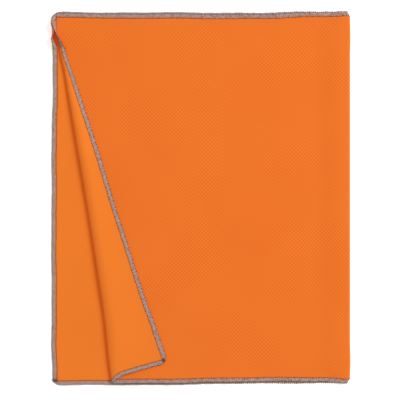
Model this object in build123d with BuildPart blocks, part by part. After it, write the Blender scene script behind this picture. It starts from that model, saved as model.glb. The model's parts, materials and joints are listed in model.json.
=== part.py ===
"""Quick dry towel, folded in half, with one corner of its front half turned back. Millimetres.

The towel is one cut of cloth with an overlocked edge: an upper looper thread on the outer, dimpled face,
a lower looper thread on the inner, smooth face, and a needle thread that holds both. The half fold runs
along +X and the crease of the turned corner runs down the left of the front half, so the cloth is three
panels: back, front and corner. Z is up, and the origin is under the middle of the folded towel.
"""

import os
from math import asin, cos, degrees, pi, radians, sin

from build123d import *

# The cut
fold_width = 400.0  # X, left edge to half fold
towel_width = 500.0  # Y, top hem to bottom hem
cloth_thick = 1.2

# The overlocked edge
edging_width = 6.5
looper_thick = 0.4
needle_width = 0.6

# The folds
fold_air = 3.6  # air inside the half fold, between the back half and the front half
front_slope = 0.36  # degrees that the front half slopes down, from the half fold to the left edge
crease_radius = 1.8  # middle of the cloth, round the crease of the turned corner
crease_slant = 9.2  # degrees from the left edge to the line that the corner turns about
crease_curl_top = 80.0  # from the top hem down to where the cloth starts to curl over
body_clearance = 0.3  # between cloth of two bodies, at a fold

# The thread tails at two corners
tail_thick = 0.7
tail_length = 7.0
back_tail_place = (4.2, 5.5)  # its middle, in from the left edge and up from the bottom edge
corner_tail_place = (12.0, 3.2)

# Worked out from those
left_x = -fold_width / 2
top_y = towel_width / 2
bend_outside = cloth_thick + fold_air / 2  # the half fold's radius at the outer face
bend_x = fold_width / 2 - bend_outside
bend_z = bend_outside
front_outer_z = 2 * bend_z  # the front half's outer face, which faces up, while it is drawn level
front_middle_z = front_outer_z - cloth_thick / 2
half_fold_x = bend_x + pi / 2 * (bend_z - cloth_thick / 2)
half_fold_axis = Axis((half_fold_x, 0, bend_z), (0, 1, 0))
crease_z = front_middle_z + crease_radius
crease_inside = crease_radius - cloth_thick / 2
crease_cloth = pi * crease_radius  # the length of cloth that the curl takes up
slant = radians(crease_slant)
down_crease = Vector(sin(slant), -cos(slant))
off_crease = Vector(-cos(slant), -sin(slant))  # square to the crease, towards the left edge
fold_line_start = Vector(left_x, top_y)
curl_line_start = fold_line_start - off_crease * (crease_cloth / 2)
curl_top_y = top_y - crease_curl_top
crease_axis = Axis(
    (fold_line_start.X, fold_line_start.Y, crease_z),
    (down_crease.X, down_crease.Y, 0),
)

reach = 40.0  # how far a cutting block reaches past the towel


def bend_sector(low, high):
    """The angle from straight down that each face of a layer turns through at the half fold."""
    lift = body_clearance / 2
    return [90 - degrees(asin(lift / (bend_z - face))) for face in (low, high)]


def slab(inset, low, high):
    """The back half from low to high above its outer face, cut back by inset at its three edges."""
    start = left_x + inset
    outer_turn, inner_turn = bend_sector(low, high)
    with BuildPart() as block:
        with BuildSketch(Plane.XZ):
            with BuildLine():
                Line((start, low), (bend_x, low))
                outer = CenterArc((bend_x, bend_z), bend_z - low, -90, outer_turn)
                inner = CenterArc((bend_x, bend_z), bend_z - high, -90, inner_turn)
                Line(outer @ 1, inner @ 1)
                Line((bend_x, high), (start, high))
                Line((start, high), (start, low))
            make_face()
        extrude(amount=top_y - inset, both=True)
    return block.part


def upper_slab(inset, low, high):
    """The front half before its corner is turned back: the back half seen in a mirror."""
    return slab(inset, low, high).mirror(Plane.XY.offset(bend_z))


def corner_zone(offset, top):
    """Everything on the corner's side of the crease, past offset from where the curl starts, below top."""

    start = curl_line_start + off_crease * offset

    def on_line(y):
        return start.X + (y - start.Y) / down_crease.Y * down_crease.X

    low = -top_y - reach
    with BuildPart() as zone:
        with BuildSketch(Plane.XY.offset(-1)):
            with BuildLine():
                Polyline(
                    (on_line(top), top), (on_line(low), low), (left_x - reach, low), (left_x - reach, top),
                    close=True,
                )
            make_face()
        extrude(amount=reach)
    return zone.part


def curl(inset, low, high, side):
    """A quarter of the curl. Side 1 rises from the front half, and side -1 from the flat corner."""
    centre = 0.0 if side == 1 else crease_cloth
    top = curl_top_y if side == 1 else curl_top_y - body_clearance
    bottom = -top_y + inset
    radii = (crease_inside + low, crease_inside + high)
    turns = [90 - degrees(asin(body_clearance / 2 / radius)) for radius in radii]
    across = Plane(
        origin=(curl_line_start.X, curl_line_start.Y, 0),
        x_dir=(off_crease.X, off_crease.Y, 0),
        z_dir=(off_crease.Y, -off_crease.X, 0),
    )
    with BuildPart() as quarter:
        with BuildSketch(across):
            with BuildLine():
                inner = CenterArc((centre, crease_z), radii[0], -90, side * turns[0])
                outer = CenterArc((centre, crease_z), radii[1], -90, side * turns[1])
                Line(inner @ 0, outer @ 0)
                Line(inner @ 1, outer @ 1)
            make_face()
        extrude(amount=towel_width + reach, both=True)
        with Locations((0, (top + bottom) / 2, 0)):
            Box(4 * fold_width, top - bottom, 4 * reach, mode=Mode.INTERSECT)
    return quarter.part


def back_layer(inset, low, high):
    return slab(inset, low, high)


def front_layer(inset, low, high):
    """The front half without its corner, curling up along the crease."""
    whole = upper_slab(inset, low, high)
    corner = corner_zone(0, curl_top_y)
    rising = curl(inset, low, high, 1)
    with BuildPart() as layer:
        add(whole)
        add(corner, mode=Mode.SUBTRACT)
        add(rising)
    return layer.part


def corner_layer(inset, low, high):
    """The corner, drawn flat beside the front half with its own curl along the crease."""
    whole = upper_slab(inset, low, high)
    corner = corner_zone(crease_cloth, curl_top_y - body_clearance)
    rising = curl(inset, low, high, -1)
    with BuildPart() as layer:
        add(whole)
        add(corner, mode=Mode.INTERSECT)
        add(rising)
    return layer.part


def run_zone(side, border):
    """The strip that one run of edging takes, where border is how far in from the cut edge it reaches."""
    split = left_x + border
    tall = 4 * reach
    with BuildPart() as zone:
        if side == "left":
            with Locations(((left_x - reach + split) / 2, 0, 0)):
                Box(border + reach, 2 * (top_y + reach), tall)
        else:
            wide = fold_width / 2 + reach - split
            up = 1 if side == "top" else -1
            with Locations((split + wide / 2, up * (top_y + reach) / 2, 0)):
                Box(wide, top_y + reach, tall)
    return zone.part


def panel(layer):
    """The cloth of one panel: full thickness inside, and pressed thin where the threads hold it."""
    full = layer(edging_width + needle_width, 0, cloth_thick)
    under_needle = layer(edging_width, looper_thick, cloth_thick)
    under_loopers = layer(looper_thick, looper_thick, cloth_thick - looper_thick)
    with BuildPart() as cloth:
        add(full)
        add(under_needle)
        add(under_loopers)
    return cloth.part


def looper(layer, side, low, high):
    """One looper thread of a run: a band on one face of the cloth that turns over its cut edge."""
    whole = layer(0, low, high)
    pressed_cloth = layer(looper_thick, looper_thick, cloth_thick - looper_thick)
    inside_seam = layer(edging_width, 0, cloth_thick)
    strip = run_zone(side, edging_width)
    with BuildPart() as band:
        add(whole)
        add(pressed_cloth, mode=Mode.SUBTRACT)
        add(inside_seam, mode=Mode.SUBTRACT)
        add(strip, mode=Mode.INTERSECT)
    return band.part


def needle_row(layer, side):
    """The needle thread of a run: a row of stitches sunk into the outer face, beside the upper looper."""
    whole = layer(edging_width, 0, looper_thick)
    inside_row = layer(edging_width + needle_width, 0, looper_thick)
    strip = run_zone(side, edging_width + needle_width)
    with BuildPart() as row:
        add(whole)
        add(inside_row, mode=Mode.SUBTRACT)
        add(strip, mode=Mode.INTERSECT)
    return row.part


def thread_tail(x, y, z, turn):
    """The sewn-in end of a seam: a short round-ended piece of thread chain."""
    barrel = tail_length - tail_thick
    with BuildPart() as tail:
        with BuildSketch(Plane(origin=(x, y, z), x_dir=(cos(turn), sin(turn), 0), z_dir=(0, 0, 1))):
            with BuildLine() as half_outline:
                Line((-tail_length / 2, 0), (tail_length / 2, 0))
                CenterArc((barrel / 2, 0), tail_thick / 2, 0, 90)
                Line((barrel / 2, tail_thick / 2), (-barrel / 2, tail_thick / 2))
                CenterArc((-barrel / 2, 0), tail_thick / 2, 90, 90)
            make_face()
        revolve(axis=Axis((x, y, z), (cos(turn), sin(turn), 0)))
    return tail.part


middle = cloth_thick / 2
halves = {
    "back": (back_layer, ("left", "top", "bottom")),
    "front": (front_layer, ("left", "top", "bottom")),
    "corner": (corner_layer, ("left", "bottom")),
}
pieces = {}
for half, (layer, sides) in halves.items():
    pieces[f"{half}_panel"] = panel(layer)
    for side in sides:
        pieces[f"{half}_{side}_upper_looper"] = looper(layer, side, 0, middle)
        pieces[f"{half}_{side}_lower_looper"] = looper(layer, side, middle, cloth_thick)
        pieces[f"{half}_{side}_needle_thread"] = needle_row(layer, side)

# Each tail lies on the inner face, over its own corner's edging.
tail_rise = cloth_thick + tail_thick / 2
pieces["back_thread_tail"] = thread_tail(
    left_x + back_tail_place[0], -top_y + back_tail_place[1], tail_rise, pi / 2
)
pieces["corner_thread_tail"] = thread_tail(
    left_x + corner_tail_place[0], -top_y + corner_tail_place[1], front_outer_z - tail_rise, 0
)

# The corner turns over about its crease, and then slopes down with the front half.
half_turn = 180
crease_point = Vertex(*crease_axis.position).rotate(half_fold_axis, -front_slope)
crease_direction = crease_axis.direction.rotate(Axis.Y, -front_slope)
os.makedirs("parts", exist_ok=True)
for name, shape in pieces.items():
    if name.startswith("corner"):
        shape = shape.rotate(crease_axis, half_turn)
    if not name.startswith("back"):
        shape = shape.rotate(half_fold_axis, -front_slope)
    shape.label = name
    export_step(shape, f"parts/{name}.step")

print("half fold axis", round(half_fold_x, 3), round(bend_z, 3))
print("corner fold axis", crease_point.center(), crease_direction)
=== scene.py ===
"""Quick-dry towel, folded in half, with one corner of its front half turned back.

The cut is one rectangle of orange microfibre towelling with an overlocked edge. Every piece of cloth and
every stitch is laid out on the flat cut first, and then carried to its folded place by one function, so that
the threads follow the cloth. On the cut, q runs from the back half's left edge, round the half fold, to the
front half's left edge, and y runs from the bottom hem to the top hem. Lengths are in millimetres until the
last step, and the finished meshes are in metres.
"""

import json
from math import cos, pi, radians, sin

import bmesh
import bpy
import numpy as np
from mathutils import Matrix, Vector


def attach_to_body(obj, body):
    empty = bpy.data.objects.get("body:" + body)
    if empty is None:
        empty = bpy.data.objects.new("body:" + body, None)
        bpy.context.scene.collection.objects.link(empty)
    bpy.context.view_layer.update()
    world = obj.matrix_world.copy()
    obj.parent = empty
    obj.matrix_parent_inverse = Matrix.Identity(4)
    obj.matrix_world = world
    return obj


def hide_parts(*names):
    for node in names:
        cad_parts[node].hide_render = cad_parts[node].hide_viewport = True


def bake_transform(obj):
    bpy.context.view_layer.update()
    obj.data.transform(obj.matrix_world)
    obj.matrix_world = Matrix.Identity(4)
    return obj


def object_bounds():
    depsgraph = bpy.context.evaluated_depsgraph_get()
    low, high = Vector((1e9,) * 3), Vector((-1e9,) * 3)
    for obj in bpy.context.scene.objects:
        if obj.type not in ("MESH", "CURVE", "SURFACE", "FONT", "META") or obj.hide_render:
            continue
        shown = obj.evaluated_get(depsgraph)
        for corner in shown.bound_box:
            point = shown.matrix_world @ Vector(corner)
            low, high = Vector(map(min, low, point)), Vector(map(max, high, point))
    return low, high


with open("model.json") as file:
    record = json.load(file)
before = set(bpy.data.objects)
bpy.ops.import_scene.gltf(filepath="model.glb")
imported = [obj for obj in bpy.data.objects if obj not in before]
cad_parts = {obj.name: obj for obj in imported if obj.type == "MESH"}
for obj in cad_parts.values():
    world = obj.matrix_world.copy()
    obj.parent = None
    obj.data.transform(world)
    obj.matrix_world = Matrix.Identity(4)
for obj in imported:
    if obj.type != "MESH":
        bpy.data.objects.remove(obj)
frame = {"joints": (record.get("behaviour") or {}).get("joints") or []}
cad_low, cad_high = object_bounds()
joints = {joint["name"]: joint for joint in frame["joints"]}

mm = 0.001

# ---- sizes of the folded towel, from the frame ----
left_x = cad_low.x / mm
top_y = cad_high.y / mm
bottom_y = cad_low.y / mm
half_fold_x = joints["half_fold"]["pos_m"][0] / mm
half_cut = half_fold_x - left_x  # from a left edge to the middle of the half fold
whole_cut = 2 * half_cut
crease_start = np.array([c / mm for c in joints["corner_fold"]["pos_m"]])[:2]
crease_way = np.array(joints["corner_fold"]["axis"])[:2]
crease_way = crease_way / np.linalg.norm(crease_way)  # down the crease, from the top left corner
crease_out = np.array([crease_way[1], -crease_way[0]])  # square to it, towards the turned corner's side
crease_slant = radians(9.2)  # of the crease, from the upright
cut_wide = top_y - bottom_y
crease_long = cut_wide / -crease_way[1]

# ---- the cloth and its edging ----
cloth_thick = 1.2
pressed_thick = 0.9  # under the threads
edging_width = 6.5
stitch_pitch = 2.75
thread_width = 1.5
edge_trim = 0.7  # the knife trims the cloth to just inside the loops
thread_thick = 0.42
needle_thread_width = 0.75
needle_thread_thick = 0.5
corner_round = 9.0  # how far from a corner of the cut its rounding starts
corner_pull = 2.4  # how far in the corner itself is pulled

# ---- how the folded cloth lies: heights are of the middle of its thickness ----
back_rest = 0.6
hem_rest = 0.9  # the edging is thicker than the cloth, and lifts it
front_rest = 2.7
fold_bend = 4.4  # half the length of cloth in the half fold's bend
fold_fall = 50.0  # how far from the half fold the front half comes to rest
fold_fall_hem = 27.0  # the same, beside the top and bottom hems
crease_bend = 3.3
crease_slow = 0.17  # share of the crease's turn that is taken slowly, past the tight bend
crease_fall = 60.0
lapel_rest = 1.6  # over the front half
twist_start = 6.0  # down the crease, where the front half's left hem starts to turn over
twist_end = 53.0
roll_past_hem = 3.0  # how far past the edging the back's turned-up left hem folds
roll_turn = radians(112)
twist_lead = 3.6  # near the top the hem twists about a line this far outside the crease
middle_bow = 1.3  # the crease and the turned corner's hem both bow to the right in the middle
crease_bow_most = 4.5
hem_bow_in = 1.8  # the turned corner's hem, just below the twist
hem_bow_upper = 3.3
hem_bow_lower = 2.0
arch_rise = 5.9  # the turned corner's bottom hem, beside the crease
arch_fall = 2.4  # and how much of that it loses towards its point
swell_size = 0.16
hem_swell = 0.12

grid_step = 5.0
fine_step = 0.8  # between columns beside the crease
twist_step = 1.5  # between rows where the hem twists


# ---------------------------------------------------------------------------------------------------------
# Where each point of the cut lies once the towel is folded
# ---------------------------------------------------------------------------------------------------------

def ramp(low, high, value):
    """0 below low, 1 above high, and smooth between them."""
    share = np.clip((value - low) / (high - low), 0, 1)
    return share * share * (3 - 2 * share)


def hill(low, high, value):
    """0 outside low to high, and a smooth hill of height 1 between them."""
    share = np.clip((value - low) / (high - low), 0, 1)
    return np.sin(pi * share) ** 2


def settle(share):
    """0 to 1 with a level start and a level end."""
    share = np.clip(share, 0, 1)
    return share - np.sin(2 * pi * share) / (2 * pi)


def bend(s, half_width, turn, slow=0.0, steps=40):
    """Where cloth lies across a bend: along and up from its middle line, and how far past the bend it is."""
    reach = 5.0 if slow else 1.0
    end = np.clip(s / half_width, -1, reach)
    part = (end + 1) / steps
    along = -np.ones_like(end)
    up = np.zeros_like(end)
    for step in range(steps):
        u = (step + 0.5) * part - 1
        angle = turn * ((1 - slow) * ramp(-1, 1, u) + slow * ramp(-1, reach, u))
        along += np.cos(angle) * part
        up += np.sin(angle) * part
    before = np.minimum(s + half_width, 0)
    past = np.maximum(s - reach * half_width, 0)
    along = along * half_width + before + past * np.cos(turn)
    up = up * half_width + past * np.sin(turn)
    return along, up, np.maximum(s - half_width, 0)


def waves(x, y, size):
    """Gentle unevenness of cloth that has been folded and smoothed by hand."""
    return size * (
        np.sin(x / 21 + 0.9 * np.sin(y / 47)) * np.cos(y / 33 + 0.4)
        + 0.6 * np.sin(x / 43 - y / 29 + 1.3)
        + 0.4 * np.cos(x / 13 + y / 61 + 2.1)
    )


def beside_hem(y):
    """1 at the top and bottom edges of the cut, and 0 well inside it."""
    return 1 - ramp(0, 30, np.minimum(top_y - y, y - bottom_y))


def rounded(q, y):
    """The cut's four corners, which the machine sews a little round."""
    from_side = np.minimum(q, whole_cut - q)
    from_end = np.minimum(top_y - y, y - bottom_y)
    near_side = np.clip(1 - from_side / corner_round, 0, 1)
    pull = corner_pull * near_side * np.clip(1 - from_end / corner_round, 0, 1)
    return q + pull * np.sign(half_cut - q), y - pull * np.sign(y)


def hem_drift(x, y, pull):
    """How far a top or bottom hem wanders in from its straight line. Pull is how much of it there is."""
    top = ramp(-175, -115, x) * (1 - ramp(80, 145, x)) * pull
    bottom = 3.2 * ramp(-150, 200, x)
    return np.where(y > 0, top, bottom)


def place_back(q, y):
    """The back half, flat on what the towel lies on. Its left hem stands up for a short way near the top."""
    inside = np.minimum(np.minimum(q, top_y - y), y - bottom_y)
    lift = (hem_rest - back_rest) * (1 - ramp(0, 3 * edging_width, inside))
    # the left edge wanders a little, and lies further in towards the top and the bottom
    ripple = 0.3 * np.sin(y / 23 + 1.1) + 0.2 * np.sin(y / 9.7)
    ripple = ripple + 1.5 * ramp(40, 150, y) + 1.1 * ramp(190, 230, -y)
    # the left hem is folded up and over for a short way, and its fold stays in line with the edge
    roll_line = edging_width + roll_past_hem
    rolled = roll_turn * hill(-4, 58, top_y - y) * ramp(0, 8, top_y - y)
    drawn_out = roll_line * (1 - np.maximum(np.cos(rolled), 0))
    x = left_x + q + (ripple - drawn_out) * (1 - ramp(10, 60, q))
    wavy = (0.35 * np.sin(x / 31) + 0.25 * np.sin(x / 12.3 + 1)) * beside_hem(y)
    y_in = y - np.sign(y) * (wavy + hem_drift(x, y, 1.0) * beside_hem(y))
    along, up, _ = bend(roll_line - q, 1.6, rolled)
    rise = q < roll_line + 1.6
    x = np.where(rise, x + (roll_line - q) - along, x)
    return x, y_in, back_rest + lift + np.where(rise, up, 0)


def fold_edge(y):
    """How far the half fold stands out from its straight line, which is least at its two ends."""
    from_end = np.minimum(top_y - y, y - bottom_y)
    return -0.8 + 0.5 * hill(8, 60, from_end) - 3.4 * (1 - ramp(0, 8, from_end))


def place_half_folded(q, y):
    """The back half, the half fold's bend and the front half, before the corner is turned back."""
    x_back, y_back, z_back = place_back(np.minimum(q, half_cut), y)
    s = q - half_cut
    along, up, past = bend(s, fold_bend, pi)
    fall = fold_fall + (fold_fall_hem - fold_fall) * beside_hem(y)
    height = bend(np.full_like(s, fold_bend), fold_bend, pi)[1]
    rest = front_rest - back_rest
    up = up - (height - rest) * settle(past / fall) * (past > 0)
    near_fold = ramp(-40, 0, s)
    x_fold = half_fold_x + along + fold_edge(y) * near_fold * (1 - ramp(0, 60, past))
    # the front half's hems wander by a little, and lie just inside the back half's
    inward = np.where(y > 0, 1.2, 2.4) + hem_drift(x_fold, y, 2.3)
    inward = inward + 0.35 * np.sin(x_fold / 38) + 0.3 * np.sin(x_fold / 14.5 + 0.6)
    front = ramp(0, 30, past)
    y_front = y - np.sign(y) * inward * beside_hem(y) * front
    # away from the bend the front half swells and dips a little
    swell = waves(x_fold, y, swell_size) * front + hem_swell * beside_hem(y) * front
    is_back = s < -fold_bend
    x = np.where(is_back, x_back + fold_edge(y) * near_fold, x_fold)
    z = np.where(is_back, z_back, z_back + up + swell)
    return x, np.where(is_back, y_back, y_front + (y_back - y) * (1 - front)), z


def front_height(x, y):
    """The front half's height, away from the half fold."""
    return front_rest + waves(x, y, swell_size) + hem_swell * beside_hem(y)


def place(q, y):
    """Where the cut's point (q, y) lies on the folded towel, in millimetres."""
    q, y = rounded(q, y)
    x_flat, folded_y, z = place_half_folded(q, y)
    off = np.stack([x_flat - crease_start[0], folded_y - crease_start[1]], axis=-1)
    t = off @ crease_way
    # near the top the hem twists evenly over about its own middle, and below that about the crease
    lead = twist_lead * (1 - ramp(5, 75, t))
    s = off @ crease_out + lead
    turn = pi * np.clip((t - twist_start) / (twist_end - twist_start), 0, 1)
    width = crease_bend * (0.4 + 0.6 * ramp(40, 190, t)) * (1 - 0.3 * ramp(430, crease_long, t))
    along, up, past = bend(s, width, turn, crease_slow)
    lapel = np.maximum(np.tan(crease_slant) * t, 1.0)
    # the crease is bowed to the right, and the turned corner's hem less so
    both_bow = middle_bow * hill(60, crease_long - 20, t)
    crease_bow = both_bow + crease_bow_most * ramp(20, 90, t) * (1 - 0.85 * ramp(400, 500, t))
    hem_bow = both_bow - hem_bow_in * ramp(50, 90, t)
    hem_bow = hem_bow + hem_bow_upper * ramp(45, 95, t) * (1 - ramp(170, 280, t))
    hem_bow = hem_bow + hem_bow_lower * ramp(390, 440, t)
    bow = crease_bow * ramp(-70, 0, s) + (hem_bow - crease_bow) * np.clip(past / lapel, 0, 1)
    along = along - bow - lead
    top_up = bend(np.full_like(s, 5 * crease_bend), width, turn, crease_slow)[1]
    fall = np.minimum(crease_fall, np.maximum(lapel - width, 4.0))
    turned = ramp(0, 4, past) * ramp(twist_end - 4, twist_end + 10, t)
    sag = np.maximum(top_up - lapel_rest, 0) * ramp(0, 1, past / fall) * turned
    # the turned corner's bottom hem bows up a little between the crease and its point
    arch = arch_rise * ramp(-12, 18, s) - arch_fall * ramp(18, 70, s)
    up_bow = -arch * ramp(400, crease_long, t) * turned
    flat = (s < -width) | (q < half_cut)
    folded = crease_start + np.outer(t + up_bow, crease_way) + np.outer(along, crease_out)
    x_new = np.where(flat, x_flat - bow * crease_out[0] * (q > half_cut), folded[:, 0])
    y_new = np.where(flat, folded_y - bow * crease_out[1] * (q > half_cut), folded[:, 1])
    lapel_waves = 0.25 * np.sin(past / 17 + t / 60) * np.sin(t / 41) * ramp(10, 30, past)
    z_new = np.where(flat, z, front_height(x_new, y_new) + np.maximum(up - sag, 0) + lapel_waves)
    return np.stack([x_new, y_new, z_new], axis=-1)


def on_cloth(q, y, h):
    """A point h above the middle of the cloth at (q, y), where up is the smooth, inner face. In metres."""
    nudge = 0.05
    centre = place(q, y)
    across = place(q + nudge, y) - place(q - nudge, y)
    down = place(q, y + nudge) - place(q, y - nudge)
    normal = np.cross(across, down)
    normal /= np.linalg.norm(normal, axis=1)[:, None]
    return (centre + normal * h[:, None]) * mm


# ---------------------------------------------------------------------------------------------------------
# Materials
# ---------------------------------------------------------------------------------------------------------

def linear(colour):
    """A hex sRGB colour as the linear values that a shader takes."""
    values = [int(colour[i:i + 2], 16) / 255 for i in (0, 2, 4)]
    return [v / 12.92 if v <= 0.04045 else ((v + 0.055) / 1.055) ** 2.4 for v in values] + [1.0]


def add_node(tree, kind, settings=None, inputs=None):
    """Adds a node and sets its properties. Each input is a value, or an output socket to link it to."""
    node = tree.nodes.new(kind)
    for name, value in (settings or {}).items():
        setattr(node, name, value)
    for name, value in (inputs or {}).items():
        if isinstance(value, bpy.types.NodeSocket):
            tree.links.new(value, node.inputs[name])
        else:
            node.inputs[name].default_value = value
    return node


def new_material(name, roughness, specular, sheen=0.0, sheen_roughness=0.5):
    material = bpy.data.materials.new(name)
    material.use_nodes = True
    tree = material.node_tree
    shader = tree.nodes["Principled BSDF"]
    shader.inputs["Roughness"].default_value = roughness
    shader.inputs["Specular IOR Level"].default_value = specular
    shader.inputs["Sheen Weight"].default_value = sheen
    shader.inputs["Sheen Roughness"].default_value = sheen_roughness
    return material, tree, shader


# strength of the cloth's painted red glow, which keeps its shaded folds red
painted_red_glow = 0.14
dimple_across = 0.0050
dimple_down = 0.0054
# how much the dimples' hollows are darkened in the colour, as painted shade
dimple_painted_shade = 0.55
nap_shade = 0.8
drift_shade = 0.5
nap_height = 0.25  # against a dimple's


def microfibre(name, colour, dark, dimple_depth):
    """Brushed microfibre towelling. Matt, with a fine nap, a knit too fine to see as loops, and dimples."""
    material, tree, shader = new_material(name, roughness=0.9, specular=0.1, sheen=0.03)
    # a painted red glow: the cloth emits red light, so that its folds stay red in their shade instead of
    # going brown
    shader.inputs["Emission Color"].default_value = linear("ff4000")
    shader.inputs["Emission Strength"].default_value = painted_red_glow
    cut = add_node(tree, "ShaderNodeUVMap", {"uv_map": "cut"}).outputs["UV"]
    sides = add_node(tree, "ShaderNodeSeparateXYZ", inputs={"Vector": cut})
    # the dimples are a staggered lattice, and patchy: some are pressed in harder than others
    # the nap's fibre clumps are about 0.8 mm, coarser than the real fibres so that they show
    noises = {}
    for noise_name, scale, detail, roughness in (
        ("patchy", 14.0, 2.0, 0.5), ("nap", 1200.0, 3.0, 0.6), ("drift", 9.0, 3.0, 0.55),
    ):
        noise = add_node(
            tree, "ShaderNodeTexNoise",
            inputs={"Scale": scale, "Detail": detail, "Roughness": roughness, "Vector": cut},
        )
        noises[noise_name] = noise.outputs["Fac"]
    ripples = []
    for side, spacing in enumerate((dimple_across, dimple_down)):
        phase = add_node(
            tree, "ShaderNodeMath", {"operation": "MULTIPLY"}, {0: sides.outputs[side], 1: 2 * pi / spacing}
        )
        ripple = add_node(tree, "ShaderNodeMath", {"operation": "COSINE"}, {0: phase.outputs[0]})
        ripples.append(ripple.outputs[0])
    lattice = add_node(tree, "ShaderNodeMath", {"operation": "MULTIPLY"}, {0: ripples[0], 1: ripples[1]})
    strength = add_node(
        tree, "ShaderNodeMapRange",
        inputs={"From Min": 0.35, "From Max": 0.65, "To Min": 0.1, "To Max": 1.0, "Value": noises["patchy"]},
    )
    dimples = add_node(
        tree, "ShaderNodeMath", {"operation": "MULTIPLY"},
        {0: lattice.outputs[0], 1: strength.outputs["Result"]},
    ).outputs[0]
    # the colour varies about its middle with painted shade in the dimples' hollows, the nap and a broad drift
    tone = 0.5 - 0.5 * nap_shade - 0.5 * drift_shade
    for source, share in (
        (dimples, dimple_painted_shade * dimple_depth), (noises["nap"], nap_shade), (noises["drift"], drift_shade),
    ):
        tone = add_node(
            tree, "ShaderNodeMath", {"operation": "MULTIPLY_ADD"}, {0: source, 1: share, 2: tone}
        ).outputs[0]
    ramp_node = add_node(tree, "ShaderNodeValToRGB", inputs={"Fac": tone})
    ramp_node.color_ramp.elements[0].color = linear(dark)
    ramp_node.color_ramp.elements[0].position = 0.0
    ramp_node.color_ramp.elements[1].color = linear(colour)
    ramp_node.color_ramp.elements[1].position = 1.0
    tree.links.new(ramp_node.outputs["Color"], shader.inputs["Base Color"])
    height = 0.0
    for source, share in ((dimples, dimple_depth), (noises["nap"], nap_height)):
        height = add_node(
            tree, "ShaderNodeMath", {"operation": "MULTIPLY_ADD"}, {0: source, 1: share, 2: height}
        ).outputs[0]
    bump = add_node(
        tree, "ShaderNodeBump", inputs={"Strength": 0.3, "Distance": 0.00025, "Height": height}
    )
    tree.links.new(bump.outputs["Normal"], shader.inputs["Normal"])
    return material


def thread(name, colour, dark, roughness):
    """Textured polyester overlock thread: matt, crimped and a little uneven in shade."""
    material, tree, shader = new_material(name, roughness=roughness, specular=0.2, sheen=0.05)
    point = add_node(tree, "ShaderNodeTexCoord").outputs["Object"]
    shade = add_node(
        tree, "ShaderNodeTexNoise",
        inputs={"Scale": 420.0, "Detail": 3.0, "Roughness": 0.6, "Vector": point},
    ).outputs["Fac"]
    ramp_node = add_node(tree, "ShaderNodeValToRGB", inputs={"Fac": shade})
    ramp_node.color_ramp.elements[0].color = linear(dark)
    ramp_node.color_ramp.elements[0].position = 0.3
    ramp_node.color_ramp.elements[1].color = linear(colour)
    ramp_node.color_ramp.elements[1].position = 0.62
    # painted shade in the crevices where the threads cross, at the needle line and along the very edge
    painted_crevice_shade = add_node(tree, "ShaderNodeAttribute", {"attribute_name": "painted_crevice_shade"}).outputs["Fac"]
    mix = add_node(
        tree, "ShaderNodeMix", {"data_type": "RGBA", "blend_type": "MIX"},
        {0: painted_crevice_shade, 6: ramp_node.outputs["Color"], 7: linear("452c26")},
    )
    tree.links.new(mix.outputs[2], shader.inputs["Base Color"])
    bump = add_node(
        tree, "ShaderNodeBump", inputs={"Strength": 0.5, "Distance": 0.0002, "Height": shade}
    )
    tree.links.new(bump.outputs["Normal"], shader.inputs["Normal"])
    return material


dimpled_face = microfibre("microfibre_towelling_dimpled_face", "ed8230", "dd6e23", 1.0)
smooth_face = microfibre("microfibre_towelling_smooth_face", "ee862f", "e27b27", 0.0)
looper_thread = thread("grey_textured_overlock_thread", "bcaaa2", "836c63", 0.8)
# the needle thread is real, but its dark brown is painted shade for the shadowed gaps between the looper
# loops
needle_thread = thread("needle_thread_dark_with_painted_shade", "5c4238", "3c2620", 0.7)


# ---------------------------------------------------------------------------------------------------------
# Building pieces
# ---------------------------------------------------------------------------------------------------------

def cut_line(bm, point, direction, drop=False):
    """Cuts the flat cloth along a line square to direction. With drop, what lies past the line is removed."""
    bmesh.ops.bisect_plane(
        bm, geom=bm.verts[:] + bm.edges[:] + bm.faces[:], dist=1e-5,
        plane_co=(point[0], point[1], 0), plane_no=(direction[0], direction[1], 0), clear_outer=drop,
    )


def flat_cloth(low, high, step, turn=0.0, centre=(0, 0)):
    """A level grid from corner low to corner high, turned about centre."""
    bm = bmesh.new()
    columns = round((high[0] - low[0]) / step[0])
    rows = round((high[1] - low[1]) / step[1])
    bmesh.ops.create_grid(bm, x_segments=columns, y_segments=rows, size=0.5)
    bmesh.ops.scale(bm, vec=(high[0] - low[0], high[1] - low[1], 1), verts=bm.verts[:])
    middle = ((low[0] + high[0]) / 2, (low[1] + high[1]) / 2, 0)
    bmesh.ops.translate(bm, vec=middle, verts=bm.verts[:])
    bmesh.ops.rotate(bm, cent=(0, 0, 0), matrix=Matrix.Rotation(turn, 3, "Z"), verts=bm.verts[:])
    bmesh.ops.translate(bm, vec=(centre[0], centre[1], 0), verts=bm.verts[:])
    return bm


def pressed(q, y):
    """The cloth's thickness, which is less where the threads hold its edge down."""
    from_edge = np.minimum(np.minimum(q, whole_cut - q), np.minimum(top_y - y, y - bottom_y))
    fullness = ramp(edging_width - 0.8, edging_width + 1.6, from_edge)
    return pressed_thick + (cloth_thick - pressed_thick) * fullness


def to_mesh(bm, name, materials):
    bmesh.ops.recalc_face_normals(bm, faces=bm.faces[:])
    mesh = bpy.data.meshes.new(name)
    bm.to_mesh(mesh)
    bm.free()
    for material in materials:
        mesh.materials.append(material)
    mesh.shade_smooth()
    mesh.set_sharp_from_angle(angle=radians(50))
    piece = bpy.data.objects.new(name, mesh)
    bpy.context.scene.collection.objects.link(piece)
    return piece


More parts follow.
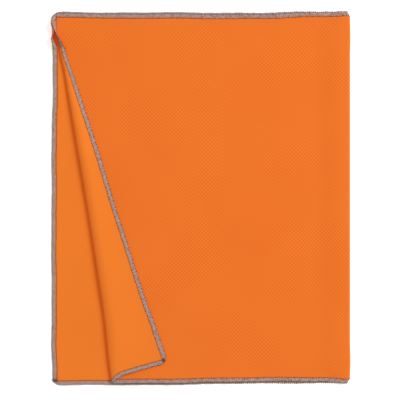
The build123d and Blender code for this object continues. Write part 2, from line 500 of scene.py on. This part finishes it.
def cloth_piece(name, bm):
    """Trims flat cloth, gives it its thickness, its two faces' materials and its map, and folds it."""
    cut_line(bm, (0, top_y - edge_trim), (0, 1), drop=True)
    cut_line(bm, (0, bottom_y + edge_trim), (0, -1), drop=True)
    cut_line(bm, (edge_trim, 0), (-1, 0), drop=True)
    cut_line(bm, (whole_cut - edge_trim, 0), (1, 0), drop=True)
    for inset in (edging_width - 0.6, edging_width + 1.6):
        cut_line(bm, (0, top_y - inset), (0, 1))
        cut_line(bm, (0, bottom_y + inset), (0, 1))
        cut_line(bm, (inset, 0), (1, 0))
        cut_line(bm, (whole_cut - inset, 0), (1, 0))
    bmesh.ops.recalc_face_normals(bm, faces=bm.faces[:])
    bmesh.ops.solidify(bm, geom=bm.faces[:], thickness=1.0)
    heights = [v.co.z for v in bm.verts]
    middle = (min(heights) + max(heights)) / 2
    uv = bm.loops.layers.uv.new("cut")
    for face in bm.faces:
        face.material_index = 1 if face.calc_center_median().z - middle > 0.25 else 0
        for loop in face.loops:
            loop[uv].uv = (loop.vert.co.x * mm, loop.vert.co.y * mm)
    bmesh.ops.translate(bm, vec=(0, 0, -middle), verts=bm.verts[:])
    q, y, h = np.array([v.co for v in bm.verts], float).T
    for vertex, co in zip(bm.verts, on_cloth(q, y, h * pressed(q, y))):
        vertex.co = co
    return to_mesh(bm, name, [dimpled_face, smooth_face])


seam_back = half_cut - 6.8  # under the half fold, where the back half's cloth meets the front half's
seam_corner = -3.0  # beyond the crease, under the turned corner
split_drop = 40.0  # below the top edge, where the front half's left hem passes to the turned corner
split_y = top_y - split_drop


def back_half_cloth():
    """The back half, with fine columns where its left hem is turned up."""
    bm = flat_cloth((0, bottom_y), (seam_back, top_y), (grid_step, grid_step))
    for line in np.arange(1.5, 15, 1.0):
        cut_line(bm, (line, 0), (1, 0))
    return cloth_piece("back_half_cloth", bm)


def crease_line(bm, line, drop=False):
    """Cuts the flat cloth along a line beside the crease. On the front half q runs the other way from x."""
    out = (-crease_out[0], crease_out[1])
    cut_line(bm, (whole_cut + line * out[0], top_y + line * out[1]), out, drop)


def front_half_cloth():
    """The front half, with fine columns where it bends, at the half fold and beside the crease."""
    bm = flat_cloth((seam_back, bottom_y), (whole_cut, top_y), (grid_step, grid_step))
    for line in np.arange(seam_back + 1.0, half_cut + 12, 1.0):
        cut_line(bm, (line, 0), (1, 0))
    for line in np.arange(-11.0, seam_corner, 1.0):
        crease_line(bm, line)
    # above the split the strip beyond the crease stays with the front half
    crease_line(bm, seam_corner)
    cut_line(bm, (0, split_y), (0, 1))
    out = np.array([-crease_out[0], crease_out[1]])
    edge = np.array([whole_cut, top_y]) + seam_corner * out
    beyond = []
    for face in bm.faces:
        middle = np.array(face.calc_center_median()[:2])
        if (middle - edge) @ out > 0 and middle[1] < split_y:
            beyond.append(face)
    bmesh.ops.delete(bm, geom=beyond, context="FACES")
    for line in np.arange(seam_corner + fine_step, 8, fine_step):
        crease_line(bm, line)
    for line in np.arange(twist_step, split_drop, twist_step):
        cut_line(bm, (0, top_y - line), (0, 1))
    return cloth_piece("front_half_cloth", bm)


def turned_corner_cloth():
    """The turned corner's cloth has fine columns along its crease, and is cut off at the towel's edges."""
    slant = np.arctan2(crease_way[0], -crease_way[1])
    corner = (whole_cut, top_y)
    bm = flat_cloth((seam_corner, -520), (95, 20), (3.5, grid_step), turn=-slant, centre=corner)
    for line in list(np.arange(seam_corner + fine_step, 8, fine_step)) + list(np.arange(9, 24, 2.0)):
        crease_line(bm, line)
    for line in np.arange(split_drop + twist_step, 70, twist_step):
        cut_line(bm, (0, top_y - line), (0, 1))
    cut_line(bm, (0, split_y), (0, 1), drop=True)
    cut_line(bm, (0, bottom_y), (0, -1), drop=True)
    cut_line(bm, (whole_cut, 0), (1, 0), drop=True)
    return cloth_piece("turned_corner_cloth", bm)


# ---- the overlocked edge ----

def looper_stitch(face_side):
    """One stitch of a looper thread on one face: out from the needle line, over the edge, and back."""
    inner = edging_width - 0.2
    rise = face_side * (pressed_thick / 2 + 0.32 * thread_thick)
    half = stitch_pitch / 2
    return [
        (inner, 0.0, rise * 0.9),
        (inner * 0.62, 0.16 * half, rise * 1.12),
        (inner * 0.28, 0.5 * half, rise * 1.08),
        (0.35, 0.86 * half, rise * 0.82),
        (-0.15, 1.0 * half, 0.0),
        (0.35, 1.14 * half, rise * 0.82),
        (inner * 0.28, 1.5 * half, rise * 1.08),
        (inner * 0.62, 1.84 * half, rise * 1.12),
        (inner, 2.0 * half, rise * 0.9),
    ]


def needle_stitches():
    """The needle thread: a bar on the outer face, and on the inner face a loop that holds the looper. Its
    dark brown is painted shade for the gaps between the looper loops.
    """
    rise = pressed_thick / 2 + 0.32
    at = edging_width - 0.1
    bar = [(at, 0.25, -rise * 0.6), (at, 0.6, -rise), (at, 1.5, -rise), (at, 1.9, -rise * 0.6)]
    loop = [
        (at - 0.5, 0.6, rise * 0.7),
        (at, 0.75, rise * 1.12),
        (at + 0.1, 1.3, rise * 1.1),
        (at - 0.4, 1.5, rise * 0.7),
    ]
    return [bar, loop]


# the painted shade dots between stitches are too fine to show, so they are drawn one to every one and a half
# stitches
dot_spacing = 1.5 * stitch_pitch


def thread_rows(name, stitches, run, material, width, thick):
    """A row of stitches along one run of the edge, laid out flat and then folded with the cloth."""
    start, way, inward, count = run
    unit = bmesh.new()
    for points in stitches:
        spine_tube(unit, points, width, thick)
    mesh = bpy.data.meshes.new(name)
    unit.to_mesh(mesh)
    unit.free()
    row = bpy.data.objects.new(name, mesh)
    bpy.context.scene.collection.objects.link(row)
    repeat = row.modifiers.new("stitches", "ARRAY")
    repeat.count = count
    repeat.use_relative_offset = False
    repeat.use_constant_offset = True
    repeat.constant_offset_displace = (0, stitch_pitch, 0)
    bpy.context.view_layer.update()
    whole = bpy.data.meshes.new_from_object(row.evaluated_get(bpy.context.evaluated_depsgraph_get()))
    bpy.data.objects.remove(row)
    bm = bmesh.new()
    bm.from_mesh(whole)
    local = np.array([v.co for v in bm.verts], float)
    depth, along, height = local.T
    # painted shade: the threads are darkened in dots along the very edge and the needle line, where they
    # cross
    at_edge = np.clip(1.2 - depth / 0.9, 0, 1)
    at_needle = np.clip((depth - edging_width + 1.3) / 0.9, 0, 1)
    beat = 0.5 + 0.5 * np.cos(2 * pi * along / dot_spacing)
    shade = bm.verts.layers.float.new("painted_crevice_shade")
    for vertex, dark in zip(bm.verts, np.maximum(at_edge, at_needle) * (0.05 + 0.95 * beat)):
        vertex[shade] = dark
    # sewing is never quite even
    depth = depth + 0.16 * np.sin(along / 3.1) + 0.12 * np.sin(along / 1.27 + 0.7)
    along = along + 0.18 * np.sin(along / 5.3 + 0.4)
    height = height * (1 + 0.1 * np.sin(along / 2.3))
    q = start[0] + way[0] * along + inward[0] * depth
    y = start[1] + way[1] * along + inward[1] * depth
    for vertex, co in zip(bm.verts, on_cloth(q, y, height)):
        vertex.co = co
    return to_mesh(bm, name, [material])


def spine_tube(bm, points, width, thick, sides=4):
    """A thread of flat oval section that follows points, closed at both ends."""
    route = [Vector(p) for p in points]
    rings = []
    for index, point in enumerate(route):
        way = (route[min(index + 1, len(route) - 1)] - route[max(index - 1, 0)]).normalized()
        side = way.cross(Vector((0, 0, 1)))
        side = side.normalized() if side.length > 0.2 else Vector((0, 1, 0))
        stand = Matrix((side * width, side.cross(way) * thick, way)).transposed().to_4x4()
        ring = bmesh.ops.create_circle(
            bm, segments=sides, radius=0.5, cap_ends=index in (0, len(route) - 1),
            matrix=Matrix.Translation(point) @ stand,
        )
        rings.append(ring["verts"])
    for low, high in zip(rings, rings[1:]):
        edges = [e for v in low for e in v.link_edges if e.other_vert(v) in low]
        edges += [e for v in high for e in v.link_edges if e.other_vert(v) in high]
        bmesh.ops.bridge_loops(bm, edges=list(set(edges)))


def runs():
    """Each run of edging, by name: where it starts, its way, which way is inward, and its length."""
    corner_q = whole_cut - (cut_wide * -crease_out[1] - seam_corner) / -crease_out[0]
    gap = 2.5  # from a corner of the cut, which the run before has turned
    return {
        "back_left": ((0, bottom_y + 1), (0, 1), (1, 0), cut_wide - 2),
        "back_top": ((gap, top_y), (1, 0), (0, -1), seam_back - gap),
        "back_bottom": ((gap, bottom_y), (1, 0), (0, 1), seam_back - gap),
        "front_top": ((seam_back, top_y), (1, 0), (0, -1), whole_cut - 1.5 - seam_back),
        "front_bottom": ((seam_back, bottom_y), (1, 0), (0, 1), corner_q - seam_back + stitch_pitch),
        "front_left": ((whole_cut, top_y - 1), (0, -1), (-1, 0), top_y - 1 - split_y + stitch_pitch),
        "corner_left": ((whole_cut, split_y), (0, -1), (-1, 0), split_y - bottom_y - 1),
        "corner_bottom": ((corner_q, bottom_y), (1, 0), (0, 1), whole_cut - gap - corner_q),
    }


# ---------------------------------------------------------------------------------------------------------
# Pieces on the two folds: their transforms are baked into their meshes, and they are not bent
# ---------------------------------------------------------------------------------------------------------

def blend_over(piece, slope):
    """Bakes piece's transform into its mesh, and does not bend it. The slope is not used."""
    slope = np.array(slope, float)
    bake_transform(piece)


def bend_with_half_fold(piece):
    """Passes a slope with a lean to blend_over, which only bakes the piece's transform; the piece is not bent
    with the half fold.
    """
    lean = 0.1
    blend_over(piece, (-lean, 0, 1))


def bend_with_corner(piece):
    """Passes a slope leaning across the crease to blend_over, which only bakes the piece's transform; the
    piece is not bent with the corner.
    """
    lean = 0.22
    slope = np.array([-lean * crease_out[0], -lean * crease_out[1], 1])
    blend_over(piece, slope)


cloths = {
    "back": back_half_cloth(),
    "front": front_half_cloth(),
    "corner": turned_corner_cloth(),
}
seam = {}
for run_name, (start, way, inward, long) in runs().items():
    run = (start, way, inward, int(long / stitch_pitch))
    threads = {
        "upper_looper": ([looper_stitch(-1)], looper_thread, thread_width, thread_thick),
        "lower_looper": ([looper_stitch(1)], looper_thread, thread_width, thread_thick),
        "needle_thread": (needle_stitches(), needle_thread, needle_thread_width, needle_thread_thick),
    }
    for thread_name, (stitches, material, width, thick) in threads.items():
        name = f"{run_name}_{thread_name}_stitches"
        seam[run_name, thread_name] = thread_rows(name, stitches, run, material, width, thick)


def attach(piece, half):
    if half == "back":
        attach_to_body(piece, "back_half")
    elif half == "front":
        bend_with_half_fold(piece)
    else:
        bend_with_corner(piece)


for half, piece in cloths.items():
    attach(piece, half)
    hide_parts(f"{half}_panel")
for (run_name, thread_name), piece in seam.items():
    half = run_name.split("_")[0]
    if run_name == "front_left":
        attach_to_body(piece, "front_half")
    else:
        attach(piece, half)
    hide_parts(f"{run_name}_{thread_name}")


# ---- the thread tails, at two corners ----

def tail(name, q, y, turn):
    """The sewn-in end of the seam's chain: a short twist of thread that lies on the edging."""
    reach = 3.4
    strand_thick = 0.8
    lift = 0.2
    # how far the tail is darkened, as painted shade
    tail_painted_shade = 0.75
    points = [
        (-reach, 0.3, 0.0), (-0.5 * reach, -0.4, 0.35), (0, 0.35, 0.45), (0.5 * reach, -0.3, 0.3),
        (reach, 0.2, 0.0),
    ]
    bm = bmesh.new()
    for shift, strand_width in ((-1.5, 1.6), (1.5, 1.6), (0.0, 1.5)):
        strand = [(px, py * 2 + shift, pz + 0.1 * shift) for px, py, pz in points]
        spine_tube(bm, strand, strand_width, strand_thick, sides=6)
    local = np.array([v.co for v in bm.verts], float)
    # the tail is darker than the seam: painted shade among its tight strands
    shade = bm.verts.layers.float.new("painted_crevice_shade")
    for vertex in bm.verts:
        vertex[shade] = tail_painted_shade
    along = local[:, 0] * cos(turn) - local[:, 1] * sin(turn)
    over = local[:, 0] * sin(turn) + local[:, 1] * cos(turn)
    height = pressed_thick / 2 + thread_thick + lift + local[:, 2]
    for vertex, co in zip(bm.verts, on_cloth(q + along, y + over, height)):
        vertex.co = co
    return to_mesh(bm, name, [looper_thread])


back_tail = tail("back_thread_tail_end", 2.4, bottom_y + 6.0, radians(8))
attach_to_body(back_tail, "back_half")
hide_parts("back_thread_tail")
corner_tail = tail("corner_thread_tail_end", whole_cut - 3.2, bottom_y + 3.6, radians(120))
bend_with_corner(corner_tail)
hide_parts("corner_thread_tail")

seam_pieces = {half: [p for (name, _), p in seam.items() if name.split("_")[0] == half] for half in cloths}
seam_pieces["back"].append(back_tail)
seam_pieces["corner"].append(corner_tail)


# ---------------------------------------------------------------------------------------------------------
# Studio
# ---------------------------------------------------------------------------------------------------------

paper_glow = 0.5
world_light = 0.47
key_place = (3.4, 1.8, 3.2)
key_size = 2.4
key_power = 181


def floor():
    """White paper with no sheen, which shines a little itself and so stays white up to the towel."""
    bm = bmesh.new()
    bmesh.ops.create_grid(bm, x_segments=1, y_segments=1, size=4.0)
    material, tree, shader = new_material("white_paper_sweep", roughness=0.9, specular=0.0)
    shader.inputs["Base Color"].default_value = linear("fdfdfd")
    shader.inputs["Emission Color"].default_value = (1, 1, 1, 1)
    shader.inputs["Emission Strength"].default_value = paper_glow
    piece = to_mesh(bm, "floor", [material])


def soft_light(name, place, size, power, aim=(0, 0, 0)):
    data = bpy.data.lights.new(name, "AREA")
    data.shape = "SQUARE"
    data.size = size
    data.energy = power
    light = bpy.data.objects.new(name, data)
    light.location = place
    light.rotation_euler = (Vector(aim) - Vector(place)).to_track_quat("-Z", "Y").to_euler()
    bpy.context.scene.collection.objects.link(light)


def studio():
    world = bpy.data.worlds.new("studio")
    world.use_nodes = True
    world.node_tree.nodes["Background"].inputs["Color"].default_value = (1, 1, 1, 1)
    world.node_tree.nodes["Background"].inputs["Strength"].default_value = world_light
    bpy.context.scene.world = world
    soft_light("key", key_place, key_size, key_power)
    bpy.context.scene.view_settings.view_transform = "Standard"
    bpy.context.scene.view_settings.look = "None"


def camera():
    """Straight above, with the top hem at the top of the frame."""
    lens = 100.0
    sensor = 36.0
    frame_width = 0.536
    aim_x = -0.00134
    aim_y = -0.002
    data = bpy.data.cameras.new("camera")
    data.lens = lens
    data.sensor_width = sensor
    above = bpy.data.objects.new("camera", data)
    above.location = (aim_x, aim_y, frame_width * lens / sensor)
    bpy.context.scene.collection.objects.link(above)
    bpy.context.scene.camera = above


floor()
studio()
camera()
